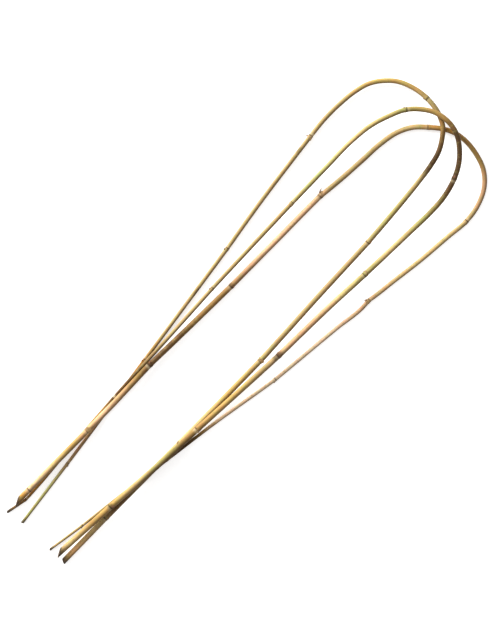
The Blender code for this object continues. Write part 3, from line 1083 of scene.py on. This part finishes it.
def cane_skin(cane, colours):
    """Dry bamboo skin: tones along the cane, cross bands, fibre streaks, painted shade on the side turned from
    the key light and painted light on the side facing it, bruises, scars, wax and specks.
    """
    skin = Finish(cane.piece + "_skin")
    place = skin.carried("cane_place", "Vector")
    seed = float(cane.seed)
    noises = {name: skin.noise(place, (along, across, across), detail, rough, seed + i)
              for i, (name, (along, across, detail, rough)) in enumerate(SKIN_NOISE.items())}
    wander, streaks, stains = noises["wander"], noises["streaks"], noises["stains"]

    share = skin.plus(skin.carried("along_share"), skin.swing(wander, TONE_WANDER))
    skin.colour = skin.tone_ramp(share, cane.tones)
    skin.layer(skin.spread(noises["bands"], *OLIVE_BANDS), PALETTE["olive"])
    skin.layer(skin.spread(noises["warm"], *ORANGE_BANDS), PALETTE["orange"])
    skin.light(skin.spread(streaks, *STREAK_LIGHT))
    skin.layer(skin.spread(stains, *UMBER_STAINS), PALETTE["umber"])
    blotch = skin.mix(skin.spread(noises["hue"], *BLOTCHES), ROSY_CAST, GREEN_CAST)
    skin.layer(1.0, blotch, "MULTIPLY")

    # Painted shade on the side turned from the key light, painted light on the side facing it
    side = skin.plus(skin.carried("sun_side"), skin.swing(stains, SIDE_WANDER))
    skin.layer(skin.spread(side, *PAINTED_SHADE_SIDE), PALETTE["shade"])
    skin.light(skin.spread(side, *PAINTED_LIGHT_SIDE))

    # Bruises, and on the middle cane a stretch of painted shade, darken towards bark
    bruise = skin.times(skin.carried("bruise"), skin.spread(stains, *BRUISE_BREAKS), clamp=True)
    skin.layer(bruise, PALETTE["bark"])
    wax = skin.times(skin.carried("ring_wax"), skin.spread(wander, *WAX_BREAKS))
    skin.layer(wax, tuple(colours.wax))
    scar = skin.times(skin.carried("ring_scar"), skin.spread(wander, *SCAR_BREAKS))
    skin.layer(scar, tuple(colours.scar))
    specks = skin.node("ShaderNodeTexVoronoi", {
        "Vector": skin.vector("MULTIPLY", place, SPECKS), "W": seed, "Scale": 1.0},
        voronoi_dimensions="4D").outputs["Distance"]
    specks = skin.times(skin.spread(specks, *SPECK_SIZE), skin.spread(noises["bands"], *SPECK_BANDS))
    skin.layer(specks, tuple(colours.scar))
    edge = skin.plus(skin.carried("end_gap"), skin.swing(streaks, SOOT_WANDER))
    skin.layer(skin.spread(edge, *END_SOOT), PALETTE["soot"])

    skin.inputs["Specular IOR Level"].default_value = SKIN_SPECULAR
    worn = skin.times(skin.plus(bruise, scar, clamp=True), SCAR_ROUGH)
    height = skin.plus(skin.times(streaks, 0.6), skin.times(noises["fibres"], 0.4))
    height = skin.minus(height, skin.times(specks, 0.4))
    return skin.close(skin.plus(skin.spread(streaks, *SKIN_ROUGH), worn), height, 0.55, 0.18 * MM)


def cut_wood(cane, colours):
    """Weathered end grain with the dark dots of the fibre bundles."""
    wood = Finish(cane.piece + "_cut")
    place = wood.carried("cane_place", "Vector")
    flat = wood.vector("MULTIPLY", place, END_GRAIN)
    dots = wood.node("ShaderNodeTexVoronoi", {"Vector": flat, "Scale": 1.0}).outputs["Distance"]
    tint = wood.noise(place, END_TINT, 3.0, 0.6, float(cane.seed))
    wood.colour = wood.mix(wood.spread(tint, 0.3, 0.7), PALETTE["umber"], tuple(colours.cut))
    wood.layer(wood.spread(dots, 0.15, 0.38, 0.85, 0.0), PALETTE["soot"])
    return wood.close(wood.spread(tint, 0.3, 0.7, 0.7, 0.92), wood.minus(tint, dots), 0.6, 0.2 * MM)


def streaky_finish(name, base, dark, rough, stretch):
    """Dry fibrous finish for buds, husk scraps and splinters."""
    finish = Finish(name)
    place = finish.object_place()
    streaks = finish.noise(place, stretch, 4.0, 0.65, 2.0)
    blots = finish.noise(place, 420.0, 3.0, 0.6, 6.0)
    finish.colour = finish.mix(finish.spread(streaks, 0.35, 0.7), base, dark)
    finish.layer(finish.spread(blots, 0.5, 0.75, 0.0, 0.7), PALETTE["umber"])
    return finish.close(finish.spread(streaks, 0.3, 0.7, rough, rough + 0.25), streaks, 0.5, 0.15 * MM)


def floor_finish(colour):
    floor = Finish("pale_floor")
    grain = floor.noise(floor.object_place(), 30.0, 3.0, 0.5, 1.0)
    shade = floor.mix(floor.spread(grain, 0.3, 0.7), tuple(colour), tuple(FLOOR_GRAIN * part for part in colour))
    floor.feed(floor.inputs["Base Color"], shade)
    for name, value in (("Roughness", 0.95), ("Specular IOR Level", 0.1),
                        ("Emission Color", (1.0, 1.0, 1.0, 1.0)), ("Emission Strength", FLOOR_GLOW)):
        floor.inputs[name].default_value = value
    return floor.material


# ---------------------------------------------------------------- stage

VIEW_CENTRE = Vector((0.0019, 0.0179, 0.0))
VIEW_TURN = math.radians(44.5)
VIEW_LENGTH = 0.9728
OBJECT_HEIGHT = 0.010
LENS = 100.0
SENSOR = 36.0
FLOOR_GLOW = 0.54
FLOOR_GRAIN = 0.985
FLOOR_DROP = 0.15 * MM
KEY_PLACE = (-2.15, 0.2, 1.35)
KEY_SIZE = 1.3
KEY_POWER = 90.0
KEY_COLOUR = (1.0, 0.97, 0.92)
SURROUND = 0.65


def add_camera():
    data = bpy.data.cameras.new("overhead_camera")
    data.sensor_width = SENSOR
    data.lens = LENS
    camera = add_object("overhead_camera", data)
    camera.location = VIEW_CENTRE + Vector((0.0, 0.0, OBJECT_HEIGHT + VIEW_LENGTH * LENS / SENSOR))
    camera.rotation_euler = (0.0, 0.0, VIEW_TURN)
    bpy.context.scene.camera = camera


def add_key_light():
    data = bpy.data.lights.new("key_light", "AREA")
    data.shape = "DISK"
    data.size = KEY_SIZE
    data.energy = KEY_POWER
    data.color = KEY_COLOUR
    lamp = add_object("key_light", data)
    lamp.location = KEY_PLACE
    lamp.rotation_euler = (VIEW_CENTRE - Vector(KEY_PLACE)).to_track_quat("-Z", "Y").to_euler()
    lamp.visible_camera = False


def add_floor(size, material):
    shape = bmesh.new()
    bmesh.ops.create_grid(shape, x_segments=8, y_segments=8, size=0.5 * size)
    mesh = bpy.data.meshes.new("floor")
    shape.to_mesh(mesh)
    shape.free()
    mesh.transform(Matrix.Translation((0.0, 0.0, -FLOOR_DROP)))
    mesh.materials.append(material)
    floor = add_object("floor", mesh)


def surround(strength):
    world = bpy.data.worlds.new("studio")
    bpy.context.scene.world = world
    world.use_nodes = True
    background = world.node_tree.nodes["Background"]
    background.inputs["Color"].default_value = (1.0, 1.0, 1.0, 1.0)
    background.inputs["Strength"].default_value = strength


# ---------------------------------------------------------------- operators and panel

def make_paths(context):
    shift = settling_shift(context.scene.hoop_sizes.ring_swell)
    return [Path(cane, shift) for cane in CANES]


class HOOPS_OT_canes(bpy.types.Operator):
    """Bend the three bamboo canes into hoops"""
    bl_idname = "hoops.canes"
    bl_label = "Bend canes"
    bl_options = {"REGISTER", "UNDO"}

    def execute(self, context):
        sizes, colours = context.scene.hoop_sizes, context.scene.hoop_colours
        tree = cane_tree()
        for path in make_paths(context):
            build_cane(path, tree, cane_skin(path.cane, colours), cut_wood(path.cane, colours), sizes)
        return {"FINISHED"}


class HOOPS_OT_buds(bpy.types.Operator):
    """Set a bud or a spur on every growth ring"""
    bl_idname = "hoops.buds"
    bl_label = "Add buds"
    bl_options = {"REGISTER", "UNDO"}

    def execute(self, context):
        sizes, colours = context.scene.hoop_sizes, context.scene.hoop_colours
        finish = streaky_finish("dry_bud", tuple(colours.bud), PALETTE["umber"], 0.55, BUD_STREAKS)
        for path in make_paths(context):
            name = path.cane.piece.replace("cane", "buds")
            set_on_canes(name, bud_rows(path, sizes.bud_length), bud_shape(), finish, path.cane.piece, 0.12, 4)
        return {"FINISHED"}


class HOOPS_OT_husks(bpy.types.Operator):
    """Leave scraps of dry husk at some growth rings"""
    bl_idname = "hoops.husks"
    bl_label = "Add husk scraps"
    bl_options = {"REGISTER", "UNDO"}

    def execute(self, context):
        colours = context.scene.hoop_colours
        finish = streaky_finish("dry_husk", tuple(colours.husk), PALETTE["clay"], 0.6, DRY_STREAKS)
        set_on_canes("husk_scraps", husk_rows(make_paths(context)), husk_shape(), finish, "right_cane", 0.1, 7)
        return {"FINISHED"}


class HOOPS_OT_splinters(bpy.types.Operator):
    """Fray the cut ends with small splinters"""
    bl_idname = "hoops.splinters"
    bl_label = "Add splinters"
    bl_options = {"REGISTER", "UNDO"}

    def execute(self, context):
        sizes = context.scene.hoop_sizes
        finish = streaky_finish("splinter", PALETTE["clay"], PALETTE["soot"], 0.65, DRY_STREAKS)
        rng = random.Random(41)
        rows = [row for path in make_paths(context) for row in splinter_rows(path, sizes.splinters, rng)]
        set_on_canes("end_splinters", rows, splinter_shape(), finish, "middle_cane", 0.25, 9)
        return {"FINISHED"}


class HOOPS_OT_stage(bpy.types.Operator):
    """Lay the pale floor and set the overhead camera and the soft light"""
    bl_idname = "hoops.stage"
    bl_label = "Set the stage"
    bl_options = {"REGISTER", "UNDO"}

    def execute(self, context):
        scene = context.scene
        add_camera()
        add_floor(scene.hoop_sizes.floor_size, floor_finish(scene.hoop_colours.floor))
        add_key_light()
        surround(SURROUND)
        scene.view_settings.view_transform = "Standard"
        return {"FINISHED"}


class HOOPS_PT_panel(bpy.types.Panel):
    """Sizes, colours and steps of the bamboo hoops"""
    bl_idname = "HOOPS_PT_panel"
    bl_label = "Bent Bamboo Hoops"
    bl_space_type = "VIEW_3D"
    bl_region_type = "UI"
    bl_category = "Hoops"

    def draw(self, context):
        layout = self.layout
        for group in (context.scene.hoop_sizes, context.scene.hoop_colours):
            box = layout.box()
            for name in group.bl_rna.properties.keys():
                if name not in ("rna_type", "name"):
                    box.prop(group, name)
        for step in STEPS:
            layout.operator(step.bl_idname)


STEPS = (HOOPS_OT_stage, HOOPS_OT_canes, HOOPS_OT_buds, HOOPS_OT_husks, HOOPS_OT_splinters)
CLASSES = (HoopSizes, HoopColours, *STEPS, HOOPS_PT_panel)


def register():
    for made in CLASSES:
        bpy.utils.register_class(made)
    bpy.types.Scene.hoop_sizes = bpy.props.PointerProperty(type=HoopSizes)
    bpy.types.Scene.hoop_colours = bpy.props.PointerProperty(type=HoopColours)


def unregister():
    del bpy.types.Scene.hoop_colours
    del bpy.types.Scene.hoop_sizes
    for made in reversed(CLASSES):
        bpy.utils.unregister_class(made)


def main():
    register()
    bpy.ops.hoops.stage()
    bpy.ops.hoops.canes()
    bpy.ops.hoops.buds()
    bpy.ops.hoops.husks()
    bpy.ops.hoops.splinters()


if __name__ == "__main__":
    main()
